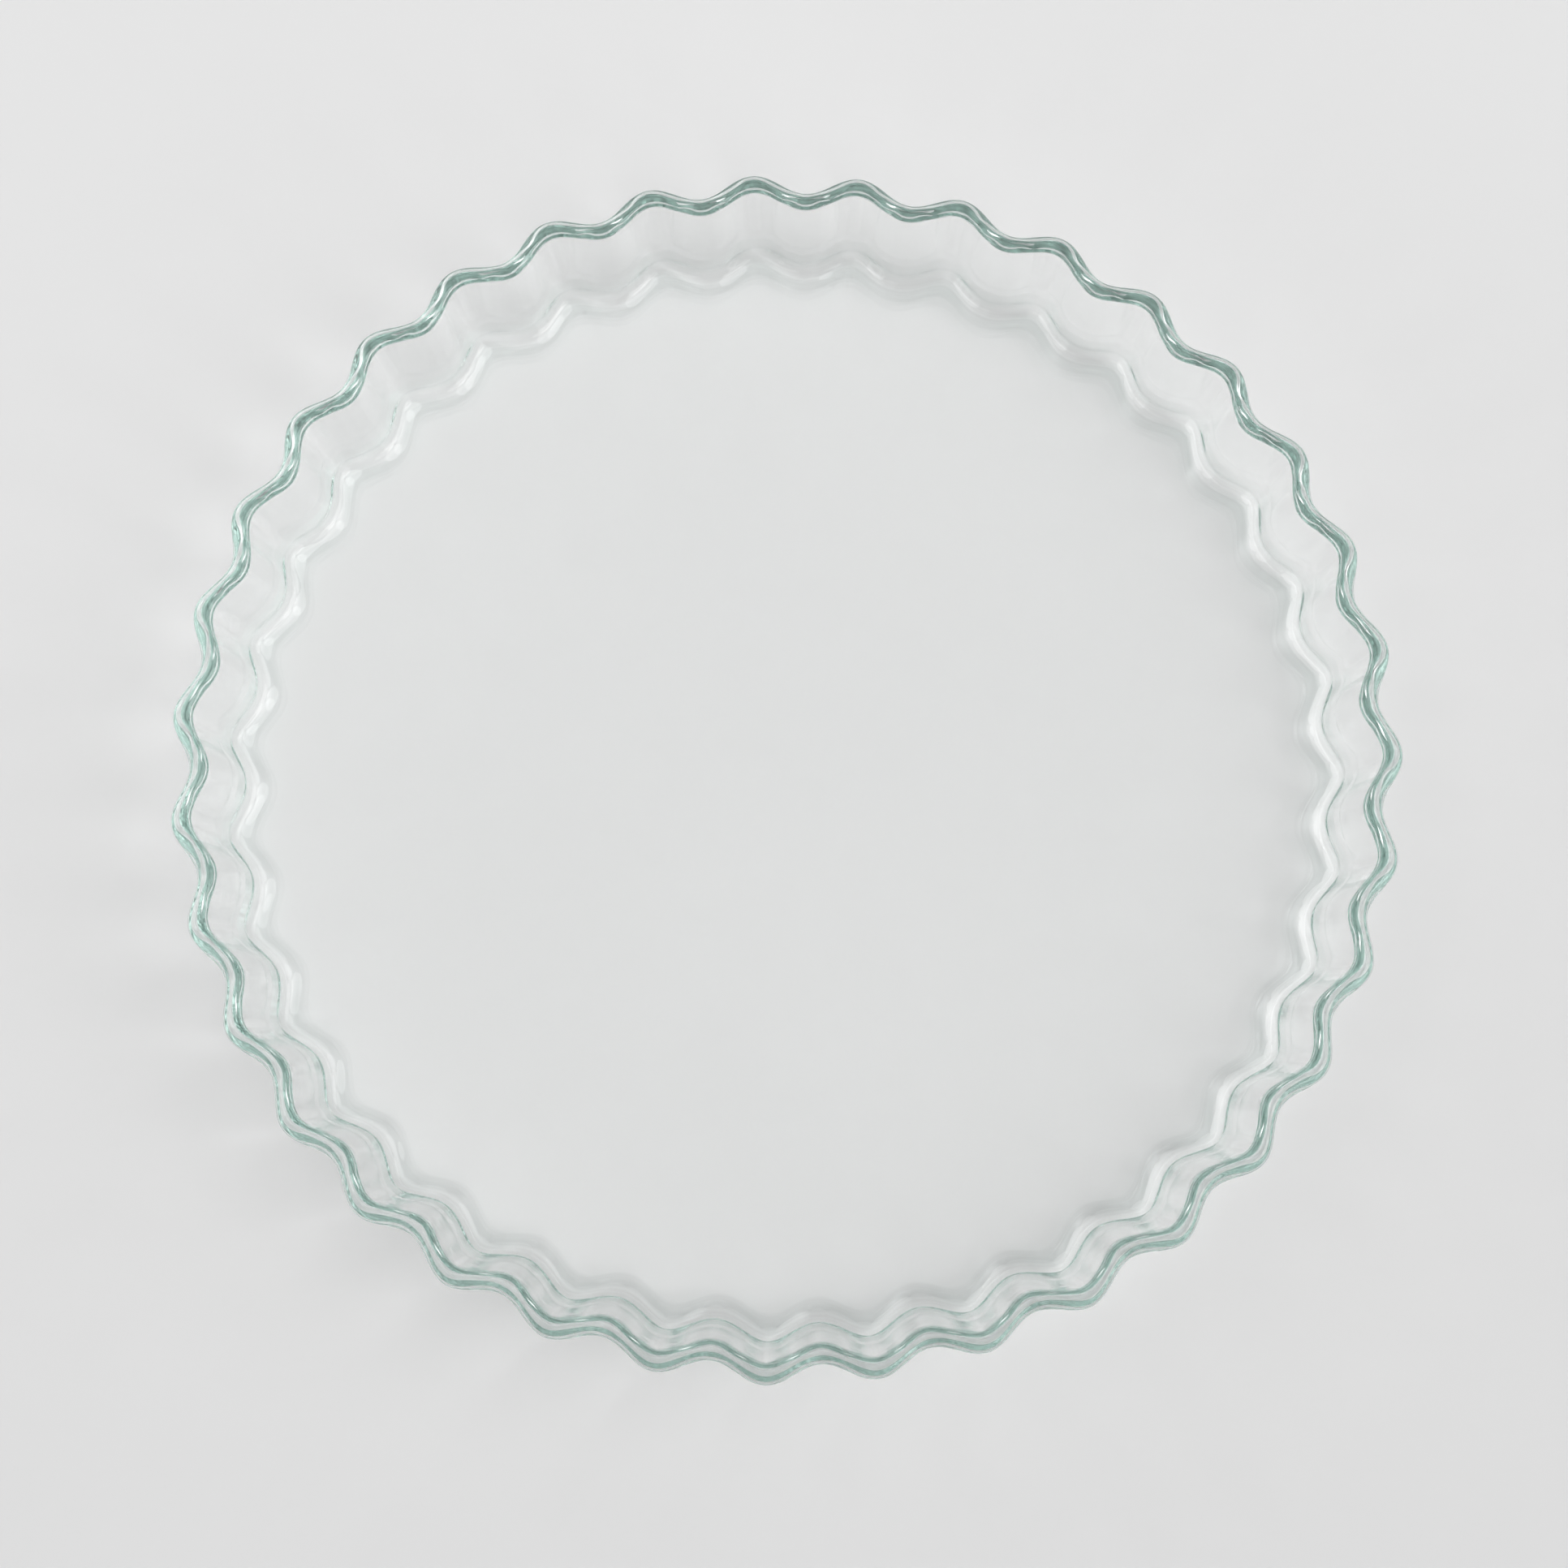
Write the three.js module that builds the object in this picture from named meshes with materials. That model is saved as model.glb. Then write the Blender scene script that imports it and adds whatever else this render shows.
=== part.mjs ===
// Fluted flan dish, pressed in one piece from clear glass.
// Millimetres, +Z up, origin at the centre of the underside, one flute tip on +X.
import * as THREE from "three";

// Overall size
const RIM_DIAMETER = 280; // across the flute tips at the rim
const HEIGHT = 31;

// Flutes: an even wave that runs the whole height of the wall
const FLUTE_COUNT = 35;
const FLUTE_DEPTH = 4.5; // from tip to valley, at the rim

// Glass
const WALL_THICKNESS = 4.8; // square to the wall
const FLOOR_THICKNESS = 4.8;
const WALL_FLARE_DEGREES = 16; // lean of the wall from upright

// Rounded corners; the rim is a full round, as wide as the wall
const FLOOR_FILLET_RADIUS = 8; // inside, between floor and wall
const HEEL_RADIUS = 6; // outside, between underside and wall

// Fineness of the facets
const STEPS_PER_FLUTE = 8;
const RIM_STEPS = 5;
const CORNER_STEPS = 4;

// The rim's outer radius midway between flute tip and valley, where the wave is nought.
const RIM_MEAN_RADIUS = (RIM_DIAMETER - FLUTE_DEPTH) / 2;

// Adds points along an arc, from its start angle through its sweep.
function addArc(points, centre, radius, start, sweep, steps) {
  for (let step = 0; step <= steps; step += 1) {
    const angle = start + (sweep * step) / steps;
    const spoke = new THREE.Vector2(Math.cos(angle), Math.sin(angle)).multiplyScalar(radius);
    points.push(spoke.add(centre));
  }
}

// Adds the arc that rounds the corner between two straight runs of the section.
function addRoundedCorner(points, before, corner, after, radius) {
  const toBefore = before.clone().sub(corner).normalize();
  const toAfter = after.clone().sub(corner).normalize();
  const halfAngle = Math.acos(toBefore.dot(toAfter)) / 2;
  const bisector = toBefore.clone().add(toAfter).normalize();
  const centre = corner.clone().addScaledVector(bisector, radius / Math.sin(halfAngle));
  const firstSpoke = corner.clone().addScaledVector(toBefore, radius / Math.tan(halfAngle)).sub(centre);
  const sweep = Math.sign(toAfter.cross(toBefore)) * (Math.PI - 2 * halfAngle);
  addArc(points, centre, radius, firstSpoke.angle(), sweep, CORNER_STEPS);
}

// Half section of the dish midway between flute tip and valley, as (radius, height) points: along
// the underside, up the outer wall, over the rim, down the inner wall and back along the floor.
function dishSection() {
  const flare = THREE.MathUtils.degToRad(WALL_FLARE_DEGREES);
  const rimRadius = WALL_THICKNESS / 2;
  const rimCentre = new THREE.Vector2(RIM_MEAN_RADIUS - rimRadius, HEIGHT - rimRadius);
  const toOuterFace = new THREE.Vector2(Math.cos(flare), -Math.sin(flare)).multiplyScalar(rimRadius);
  const outerTop = rimCentre.clone().add(toOuterFace);
  const innerTop = rimCentre.clone().sub(toOuterFace);
  const heelRadius = outerTop.x - outerTop.y * Math.tan(flare);
  const floorRadius = innerTop.x - (innerTop.y - FLOOR_THICKNESS) * Math.tan(flare);

  const undersideCentre = new THREE.Vector2(0, 0);
  const heel = new THREE.Vector2(heelRadius, 0);
  const floorEdge = new THREE.Vector2(floorRadius, FLOOR_THICKNESS);
  const floorCentre = new THREE.Vector2(0, FLOOR_THICKNESS);

  const points = [undersideCentre];
  addRoundedCorner(points, undersideCentre, heel, outerTop, HEEL_RADIUS);
  addArc(points, rimCentre, rimRadius, -flare, Math.PI, RIM_STEPS);
  addRoundedCorner(points, innerTop, floorEdge, floorCentre, FLOOR_FILLET_RADIUS);
  points.push(floorCentre);
  return points;
}

// Moves every point in or out along its radius, in step with the flutes. The wave grows with the
// radius, so the wall keeps its thickness, and the floor and the underside stay flat.
function addFlutes(geometry) {
  const waveShare = FLUTE_DEPTH / 2 / RIM_MEAN_RADIUS;
  const position = geometry.getAttribute("position");
  for (let i = 0; i < position.count; i += 1) {
    const angle = Math.atan2(position.getY(i), position.getX(i));
    const stretch = 1 + waveShare * Math.cos(FLUTE_COUNT * angle);
    position.setXY(i, position.getX(i) * stretch, position.getY(i) * stretch);
  }
  geometry.computeVertexNormals();
}

function glassDish() {
  // The turn starts a quarter round, so that a step of it falls on +X and on every tip and valley.
  const geometry = new THREE.LatheGeometry(dishSection(), FLUTE_COUNT * STEPS_PER_FLUTE, Math.PI / 2);
  geometry.rotateX(Math.PI / 2);
  addFlutes(geometry);
  const clearGlass = new THREE.MeshStandardMaterial({
    color: 0xd3e6df,
    roughness: 0.04,
    metalness: 0,
    transparent: true,
    opacity: 0.35,
  });
  const mesh = new THREE.Mesh(geometry, clearGlass);
  mesh.name = "glass_dish";
  return mesh;
}

const flanDish = new THREE.Group();
flanDish.add(glassDish());

export default flanDish;
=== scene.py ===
import math

import bpy
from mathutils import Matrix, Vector


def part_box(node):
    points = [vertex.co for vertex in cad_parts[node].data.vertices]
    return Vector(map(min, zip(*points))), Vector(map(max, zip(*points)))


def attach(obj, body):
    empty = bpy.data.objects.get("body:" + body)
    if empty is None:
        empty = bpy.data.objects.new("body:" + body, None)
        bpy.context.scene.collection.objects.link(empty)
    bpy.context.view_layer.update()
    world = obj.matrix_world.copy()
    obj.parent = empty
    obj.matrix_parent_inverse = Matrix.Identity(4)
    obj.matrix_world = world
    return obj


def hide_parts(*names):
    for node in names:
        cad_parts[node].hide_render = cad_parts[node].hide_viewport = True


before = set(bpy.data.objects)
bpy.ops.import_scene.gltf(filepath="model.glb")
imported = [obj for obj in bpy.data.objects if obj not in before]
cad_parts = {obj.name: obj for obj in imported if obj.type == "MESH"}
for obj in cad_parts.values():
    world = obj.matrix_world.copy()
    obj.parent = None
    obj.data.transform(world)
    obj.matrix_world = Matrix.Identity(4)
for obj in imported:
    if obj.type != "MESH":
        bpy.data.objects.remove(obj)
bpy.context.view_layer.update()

MM = 0.001
WHITE = (1, 1, 1, 1)

# The dish: overall size from the frame, the rest as in its solid
DISH_NODE = "glass_dish"
TIP_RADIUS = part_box(DISH_NODE)[1].x
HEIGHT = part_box(DISH_NODE)[1].z
FLUTE_COUNT = 35
FLUTE_DEPTH = 4.5 * MM
WALL_THICKNESS = 4.8 * MM
FLOOR_THICKNESS = 4.8 * MM
WALL_FLARE = math.radians(16)
RIM_RADIUS = WALL_THICKNESS / 2
FLOOR_FILLET_RADIUS = 8 * MM
HEEL_RADIUS = 6 * MM
RIM_MEAN_RADIUS = TIP_RADIUS - FLUTE_DEPTH / 2

# Fineness of the dish's mesh
STEPS_PER_FLUTE = 28
RING_STEPS = FLUTE_COUNT * STEPS_PER_FLUTE
RIM_STEPS = 24
CORNER_STEPS = 14
WALL_STEPS = 8
FLAT_EDGE_STRIP = 1.0 * MM
FLAT_RING_SHARES = (0.8, 0.4)

# The glass: tint by depth, patches of haze, and the slow ripples of a pressed surface
GLASS_IOR = 1.52
GLASS_TINT = (0.34, 0.56, 0.50, 1)
GLASS_TINT_DENSITY = 5.0
HAZE_SCALE = 40.0
HAZE_NOISE_RANGE = (0.35, 0.75)
HAZE_ROUGHNESS = 0.03
RIPPLE_SCALE = 55.0
RIPPLE_DETAIL = 1.0
RIPPLE_STRENGTH = 0.25
RIPPLE_HEIGHT = 0.4 * MM

# The paper that the dish stands on: its size, and its grey, which a painted light falloff raises a little
# along one direction
FLOOR_SIZE = 6.0
FLOOR_GAP = 0.3 * MM
PAPER_GREY = 0.775
MOTTLE = 0.006
MOTTLE_SCALE = 9.0
MOTTLE_DETAIL = 4.0
MOTTLE_NOISE_RANGE = (0.3, 0.7)
# Painted light falloff across the paper: how much it scales the grey, how far it reaches, and its
# direction
PAINTED_FALLOFF = 0.05
PAINTED_FALLOFF_REACH = 0.3
PAINTED_FALLOFF_DIRECTION = (-0.28, 0.96, 0)
TOOTH_SCALE = 1500.0
TOOTH_STRENGTH = 0.1
TOOTH_HEIGHT = 0.05 * MM

# The camera, as fitted to the flute tips: distance and angles from the point it aims at
CAMERA_AIM = Vector((-0.6 * MM, -5.2 * MM, 29.3 * MM))
CAMERA_DISTANCE = 0.863
CAMERA_AZIMUTH = math.radians(-90.66)
CAMERA_ELEVATION = math.radians(78.93)
SENSOR_WIDTH = 36.0
LENS = 87.5

# The light: rows of round soft boxes as (name, azimuths, elevation, distance, size, power of each), with
# angles in degrees, the even sky round them, and the backdrop that the camera sees in the sky's place
SOFT_BOX_ROWS = [
    ("key", (-30, 0), 40, 12.0, 9.0, 390.0),
    ("low_right", (-30, 0, 30), 10, 12.0, 6.6, 172.0),
    ("low_back", (60, 90), 10, 12.0, 6.6, 115.0),
    ("low_left", (120, 150, 180, 210), 10, 12.0, 6.6, 210.0),
    ("mid_left", (180, 210, 240), 25, 12.0, 6.6, 74.0),
    ("mid_back", (90, 120), 35, 12.0, 6.6, 53.0),
    ("overhead", (90,), 90, 9.0, 15.1, 283.0),
    ("top", (90,), 80, 9.0, 5.4, 48.0),
]
SKY_STRENGTH = 0.12
BACKDROP_STRENGTH = 0.74

# Light runs to and fro in the wall many times before it leaves the glass.
LIGHT_BOUNCES = 64


def arc(centre, radius, start, sweep, steps):
    """Points along an arc, from its start angle through its sweep."""
    angles = [start + sweep * step / steps for step in range(steps + 1)]
    return [centre + radius * Vector((math.cos(angle), math.sin(angle))) for angle in angles]


def rounded_corner(before, corner, after, radius):
    """The arc that rounds the corner between two straight runs of the section."""
    to_before = (before - corner).normalized()
    to_after = (after - corner).normalized()
    half_angle = to_before.angle(to_after) / 2
    bisector = (to_before + to_after).normalized()
    centre = corner + bisector * (radius / math.sin(half_angle))
    first = corner + to_before * (radius / math.tan(half_angle)) - centre
    sweep = math.copysign(math.pi - 2 * half_angle, to_after.x * to_before.y - to_after.y * to_before.x)
    return arc(centre, radius, math.atan2(first.y, first.x), sweep, CORNER_STEPS)


def straight_run(start, end, steps):
    """Points between the two ends of a straight run."""
    return [start.lerp(end, step / steps) for step in range(1, steps)]


def dish_section():
    """(radius, height) points from the underside's edge round the wall to the floor's edge."""
    rim_centre = Vector((RIM_MEAN_RADIUS - RIM_RADIUS, HEIGHT - RIM_RADIUS))
    to_outer_face = RIM_RADIUS * Vector((math.cos(WALL_FLARE), -math.sin(WALL_FLARE)))
    outer_top = rim_centre + to_outer_face
    inner_top = rim_centre - to_outer_face
    slope = math.tan(WALL_FLARE)
    heel_corner = Vector((outer_top.x - outer_top.y * slope, 0))
    floor_corner = Vector((inner_top.x - (inner_top.y - FLOOR_THICKNESS) * slope, FLOOR_THICKNESS))

    heel = rounded_corner(Vector((0, 0)), heel_corner, outer_top, HEEL_RADIUS)
    rim = arc(rim_centre, RIM_RADIUS, -WALL_FLARE, math.pi, RIM_STEPS)
    fillet = rounded_corner(inner_top, floor_corner, Vector((0, FLOOR_THICKNESS)), FLOOR_FILLET_RADIUS)
    outer_wall = straight_run(heel[-1], rim[0], WALL_STEPS)
    inner_wall = straight_run(rim[-1], fillet[0], WALL_STEPS)
    return heel + outer_wall + rim + inner_wall + fillet


def flat_rings(edge):
    """Rings of a flat disc inside its edge, from the edge inwards."""
    strip = Vector((edge.x - FLAT_EDGE_STRIP, edge.y))
    return [strip] + [Vector((edge.x * share, edge.y)) for share in FLAT_RING_SHARES]


def fluted_ring(point):
    """One ring of the dish through a point of its section, waved by the flutes."""
    wave_share = FLUTE_DEPTH / 2 / RIM_MEAN_RADIUS
    ring = []
    for step in range(RING_STEPS):
        angle = 2 * math.pi * step / RING_STEPS
        radius = point.x * (1 + wave_share * math.cos(FLUTE_COUNT * angle))
        ring.append((radius * math.cos(angle), radius * math.sin(angle), point.y))
    return ring


def make_dish():
    """The whole dish as one closed, smooth mesh."""
    wall = dish_section()
    rings = list(reversed(flat_rings(wall[0]))) + wall + flat_rings(wall[-1])
    vertices = [vertex for point in rings for vertex in fluted_ring(point)]
    faces = []
    for ring in range(len(rings) - 1):
        below = ring * RING_STEPS
        above = below + RING_STEPS
        for step in range(RING_STEPS):
            after = (step + 1) % RING_STEPS
            faces.append((below + step, below + after, above + after, above + step))
    underside_pole = len(vertices)
    floor_pole = underside_pole + 1
    vertices += [(0, 0, 0), (0, 0, FLOOR_THICKNESS)]
    last = (len(rings) - 1) * RING_STEPS
    for step in range(RING_STEPS):
        after = (step + 1) % RING_STEPS
        faces.append((underside_pole, after, step))
        faces.append((floor_pole, last + step, last + after))
    mesh = bpy.data.meshes.new("fluted_glass_dish")
    mesh.from_pydata(vertices, [], faces)
    mesh.validate()
    mesh.shade_smooth()
    dish = bpy.data.objects.new("fluted_glass_dish", mesh)
    bpy.context.collection.objects.link(dish)
    return dish


def add_noise(tree, place, scale, detail=2.0):
    """Noise over a piece's own coordinates; gives its output."""
    noise = tree.nodes.new("ShaderNodeTexNoise")
    noise.inputs["Scale"].default_value = scale
    noise.inputs["Detail"].default_value = detail
    tree.links.new(place.outputs["Object"], noise.inputs["Vector"])
    return noise.outputs["Fac"]


def add_bump(tree, shader, height, strength, distance):
    """Lets a height roughen the shader's surface."""
    bump = tree.nodes.new("ShaderNodeBump")
    bump.inputs["Strength"].default_value = strength
    bump.inputs["Distance"].default_value = distance
    tree.links.new(height, bump.inputs["Height"])
    tree.links.new(bump.outputs["Normal"], shader.inputs["Normal"])


def glass_material():
    """Clear soda-lime glass: green by depth, with the faint waviness and haze of pressed glass."""
    material = bpy.data.materials.new("clear_pressed_glass")
    material.use_nodes = True
    tree = material.node_tree
    shader = tree.nodes["Principled BSDF"]
    shader.inputs["Base Color"].default_value = WHITE
    shader.inputs["Transmission Weight"].default_value = 1.0
    shader.inputs["IOR"].default_value = GLASS_IOR
    place = tree.nodes.new("ShaderNodeTexCoord")

    roughness = tree.nodes.new("ShaderNodeMapRange")
    roughness.inputs["From Min"].default_value = HAZE_NOISE_RANGE[0]
    roughness.inputs["From Max"].default_value = HAZE_NOISE_RANGE[1]
    roughness.inputs["To Min"].default_value = 0.0
    roughness.inputs["To Max"].default_value = HAZE_ROUGHNESS
    tree.links.new(add_noise(tree, place, HAZE_SCALE), roughness.inputs["Value"])
    tree.links.new(roughness.outputs["Result"], shader.inputs["Roughness"])

    ripple = add_noise(tree, place, RIPPLE_SCALE, RIPPLE_DETAIL)
    add_bump(tree, shader, ripple, RIPPLE_STRENGTH, RIPPLE_HEIGHT)

    absorption = tree.nodes.new("ShaderNodeVolumeAbsorption")
    absorption.inputs["Color"].default_value = GLASS_TINT
    absorption.inputs["Density"].default_value = GLASS_TINT_DENSITY
    tree.links.new(absorption.outputs["Volume"], tree.nodes["Material Output"].inputs["Volume"])
    return material


def floor_material():
    """Matt pale grey paper, faintly mottled, with a fine tooth, and a painted light falloff that makes it
    a little paler towards the back.
    """
    material = bpy.data.materials.new("pale_paper")
    material.use_nodes = True
    tree = material.node_tree
    shader = tree.nodes["Principled BSDF"]
    shader.inputs["Roughness"].default_value = 1.0
    shader.inputs["Specular IOR Level"].default_value = 0.0
    place = tree.nodes.new("ShaderNodeTexCoord")

    shade = tree.nodes.new("ShaderNodeValToRGB")
    shades = (PAPER_GREY - MOTTLE, PAPER_GREY + MOTTLE)
    for stop, position, grey in zip(shade.color_ramp.elements, MOTTLE_NOISE_RANGE, shades):
        stop.position = position
        stop.color = (grey, grey, grey, 1)
    tree.links.new(add_noise(tree, place, MOTTLE_SCALE, MOTTLE_DETAIL), shade.inputs["Fac"])

    # Painted light falloff: the grey is scaled up towards the back and a little to the left, standing in
    # for light that falls off across the paper
    along = tree.nodes.new("ShaderNodeVectorMath")
    along.operation = "DOT_PRODUCT"
    along.inputs[1].default_value = PAINTED_FALLOFF_DIRECTION
    tree.links.new(place.outputs["Object"], along.inputs[0])
    painted_falloff = tree.nodes.new("ShaderNodeMapRange")
    painted_falloff.interpolation_type = "SMOOTHSTEP"
    painted_falloff.inputs["From Min"].default_value = -PAINTED_FALLOFF_REACH
    painted_falloff.inputs["From Max"].default_value = PAINTED_FALLOFF_REACH
    painted_falloff.inputs["To Min"].default_value = 1 - PAINTED_FALLOFF
    painted_falloff.inputs["To Max"].default_value = 1 + PAINTED_FALLOFF
    tree.links.new(along.outputs["Value"], painted_falloff.inputs["Value"])
    mottle_and_painted_falloff = tree.nodes.new("ShaderNodeVectorMath")
    mottle_and_painted_falloff.operation = "SCALE"
    tree.links.new(shade.outputs["Color"], mottle_and_painted_falloff.inputs["Vector"])
    tree.links.new(painted_falloff.outputs["Result"], mottle_and_painted_falloff.inputs["Scale"])
    tree.links.new(mottle_and_painted_falloff.outputs["Vector"], shader.inputs["Base Color"])

    add_bump(tree, shader, add_noise(tree, place, TOOTH_SCALE), TOOTH_STRENGTH, TOOTH_HEIGHT)
    return material


def make_floor():
    """A square sheet of paper, just clear of the dish's underside."""
    half = FLOOR_SIZE / 2
    mesh = bpy.data.meshes.new("floor")
    corners = [(-half, -half), (half, -half), (half, half), (-half, half)]
    mesh.from_pydata([(x, y, -FLOOR_GAP) for x, y in corners], [], [(0, 1, 2, 3)])
    mesh.materials.append(floor_material())
    floor = bpy.data.objects.new("floor", mesh)
    bpy.context.collection.objects.link(floor)


def direction(azimuth, elevation):
    """The unit vector that points to an azimuth and elevation."""
    flat = math.cos(elevation)
    return Vector((flat * math.cos(azimuth), flat * math.sin(azimuth), math.sin(elevation)))


def aim(thing, target):
    """Turns a camera or a lamp to a point."""
    thing.rotation_euler = (target - thing.location).to_track_quat("-Z", "Y").to_euler()


def make_camera():
    """The photo's view, from almost straight above."""
    data = bpy.data.cameras.new("camera")
    data.sensor_width = SENSOR_WIDTH
    data.lens = LENS
    camera = bpy.data.objects.new("camera", data)
    camera.location = CAMERA_AIM + CAMERA_DISTANCE * direction(CAMERA_AZIMUTH, CAMERA_ELEVATION)
    aim(camera, CAMERA_AIM)
    bpy.context.collection.objects.link(camera)
    bpy.context.scene.camera = camera


def make_soft_boxes(name, azimuths, elevation, distance, size, power):
    """A row of round soft boxes at one height, all turned to the dish and out of the camera's sight."""
    data = bpy.data.lights.new(name, "AREA")
    data.shape = "DISK"
    data.size = size
    data.energy = power
    for azimuth in azimuths:
        lamp = bpy.data.objects.new(f"{name}_{azimuth}", data)
        lamp.location = distance * direction(math.radians(azimuth), math.radians(elevation))
        lamp.visible_camera = False
        aim(lamp, Vector((0, 0, 0)))
        bpy.context.collection.objects.link(lamp)


def make_world():
    """An even sky that lights the dish, and a paler backdrop for the camera."""
    world = bpy.data.worlds.new("studio")
    world.use_nodes = True
    nodes = world.node_tree.nodes
    links = world.node_tree.links
    sky = nodes["Background"]
    sky.inputs["Color"].default_value = WHITE
    sky.inputs["Strength"].default_value = SKY_STRENGTH
    backdrop = nodes.new("ShaderNodeBackground")
    backdrop.inputs["Color"].default_value = WHITE
    backdrop.inputs["Strength"].default_value = BACKDROP_STRENGTH
    path = nodes.new("ShaderNodeLightPath")
    choice = nodes.new("ShaderNodeMixShader")
    links.new(path.outputs["Is Camera Ray"], choice.inputs["Fac"])
    links.new(sky.outputs["Background"], choice.inputs[1])
    links.new(backdrop.outputs["Background"], choice.inputs[2])
    links.new(choice.outputs["Shader"], nodes["World Output"].inputs["Surface"])
    bpy.context.scene.world = world


make_camera()
make_floor()
for row in SOFT_BOX_ROWS:
    make_soft_boxes(*row)
make_world()

dish = make_dish()
dish.data.materials.append(glass_material())
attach(dish, "root")
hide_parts(DISH_NODE)

scene = bpy.context.scene
scene.view_settings.view_transform = "Standard"
scene.cycles.max_bounces = LIGHT_BOUNCES
scene.cycles.transmission_bounces = LIGHT_BOUNCES
scene.cycles.glossy_bounces = LIGHT_BOUNCES
scene.cycles.blur_glossy = 0.0
